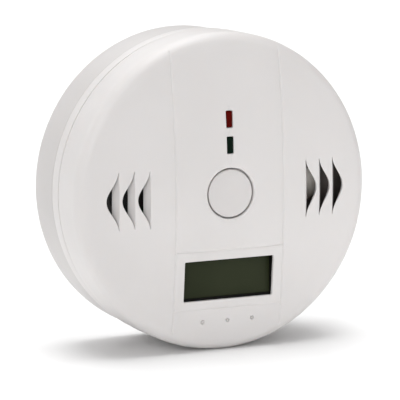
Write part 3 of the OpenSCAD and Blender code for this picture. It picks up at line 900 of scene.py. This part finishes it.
LAMP_SOFT = 0.22
LEAST_CORNER = 0.05
LEAD_PITCH = 2.54
LEAD_SIZE = (0.5, 0.5)
LEAD_FOOT = BOARD_Z - 0.8


def stack(name, layers):
    """A closed form through outlines of equal length, given with their heights from the lowest up."""
    count = len(layers[0][0])
    vertices = [row(x, y, z) for outline, z in layers for x, y in outline]
    polygons = [tuple(range(count))[::-1], tuple(range((len(layers) - 1) * count, len(layers) * count))]
    for k in range(len(layers) - 1):
        low, high = k * count, (k + 1) * count
        polygons += [(low + i, low + (i + 1) % count, high + (i + 1) % count, high + i) for i in range(count)]
    return new_mesh(name, vertices, polygons)


def make_lamp(name, y):
    """A rectangular lamp with softened edges, on its two leads."""
    top = dome_z(y) - LED_SINK
    layers = [(rounded_box((0, y), LED_SIZE, LAMP_SOFT), top - LED_LENGTH)]
    for k in range(6):
        a = math.pi / 2 * k / 5
        inset = LAMP_SOFT * (1 - math.cos(a))
        size = (LED_SIZE[0] - 2 * inset, LED_SIZE[1] - 2 * inset)
        z = top - LAMP_SOFT + LAMP_SOFT * math.sin(a)
        layers.append((rounded_box((0, y), size, LAMP_SOFT + LEAST_CORNER - inset), z))
    lamp = stack(name, layers)
    leads = [prism("lead", rounded_box((0, y + side * LEAD_PITCH / 2), LEAD_SIZE, LEAST_CORNER),
                   LEAD_FOOT, top - LED_LENGTH + 0.2) for side in (-1, 1)]
    combine(lamp, "UNION", leads)
    return lamp


place(make_lamp("red_lamp", LED_Y["red_led"]), "alarm_body", "red_led", red_epoxy)
place(make_lamp("green_lamp", LED_Y["green_led"]), "alarm_body", "green_led", green_epoxy)


# ---- Camera, light and floor ----

FLOOR_Z = -CASE_R * MM
FLOOR_REACH = 30.0
CAMERA_AT = Vector((-0.41419, -0.8964, 0.14657))
CAMERA_FORWARD = Vector((0.42146, 0.89366, -0.15412))
CAMERA_UP = Vector((0.07089, 0.13696, 0.98804))
LENS = 279.0


def make_camera():
    data = bpy.data.cameras.new("camera")
    data.lens = LENS
    data.sensor_width = 36.0
    data.clip_start = 0.01
    camera = add_object("camera", data)
    back = -CAMERA_FORWARD.normalized()
    right = CAMERA_UP.cross(back).normalized()
    up = back.cross(right)
    turn = Matrix((right, up, back)).transposed().to_4x4()
    camera.matrix_world = Matrix.Translation(CAMERA_AT) @ turn
    bpy.context.scene.camera = camera


def add_light(name, kind, power, direction):
    """A new light that shines from this direction."""
    data = bpy.data.lights.new(name, kind)
    data.energy = power
    light = add_object(name, data)
    light.rotation_euler = direction.to_track_quat("Z", "Y").to_euler()
    return light


def sun_light(name, azimuth, elevation, softness, power):
    """A distant light. Azimuth 0 is in front of the alarm, and azimuth grows to the left, seen from there."""
    a, e = math.radians(azimuth), math.radians(elevation)
    direction = Vector((-math.sin(a) * math.cos(e), -math.cos(a) * math.cos(e), math.sin(e)))
    add_light(name, "SUN", power, direction).data.angle = math.radians(softness)


def fill_card(at, towards, size, power):
    """A small light low in front of the alarm. It shines from one side only, and that side is turned away
    from the camera, so it doesn't show."""
    card = add_light("fill_card", "AREA", power, Vector(at) - Vector(towards))
    card.data.shape = "RECTANGLE"
    card.data.size, card.data.size_y = size
    card.location = at


def make_floor():
    mesh = bpy.data.meshes.new("floor")
    signs = ((-1, -1), (1, -1), (1, 1), (-1, 1))
    corners = [(x * FLOOR_REACH, y * FLOOR_REACH, FLOOR_Z) for x, y in signs]
    mesh.from_pydata(corners, [], [(0, 1, 2, 3)])
    floor = add_object("floor", mesh)
    white = plain("floor_white", (0.92, 0.92, 0.92, 1), (0.93, 0.93, 0.93, 1), 0.8, scale=8.0, strength=0.0)
    paint(floor, white)


def make_world():
    world = bpy.data.worlds.new("studio")
    world.use_nodes = True
    world.node_tree.nodes["Background"].inputs["Color"].default_value = (1, 1, 1, 1)
    world.node_tree.nodes["Background"].inputs["Strength"].default_value = 0.28
    bpy.context.scene.world = world


make_camera()
make_floor()
make_world()
sun_light("top", 0, 90, 40, 2.1)
sun_light("key", 50, 20, 30, 0.8)
sun_light("back", 190, 50, 50, 0.8)
sun_light("left", 120, 15, 50, 0.3)
sun_light("right", -45, 15, 40, 0.25)
fill_card((0.06, -0.14, -0.045), (0.0, -0.03, -0.03), (0.15, 0.02), 0.025)
bpy.context.scene.view_settings.view_transform = "Standard"
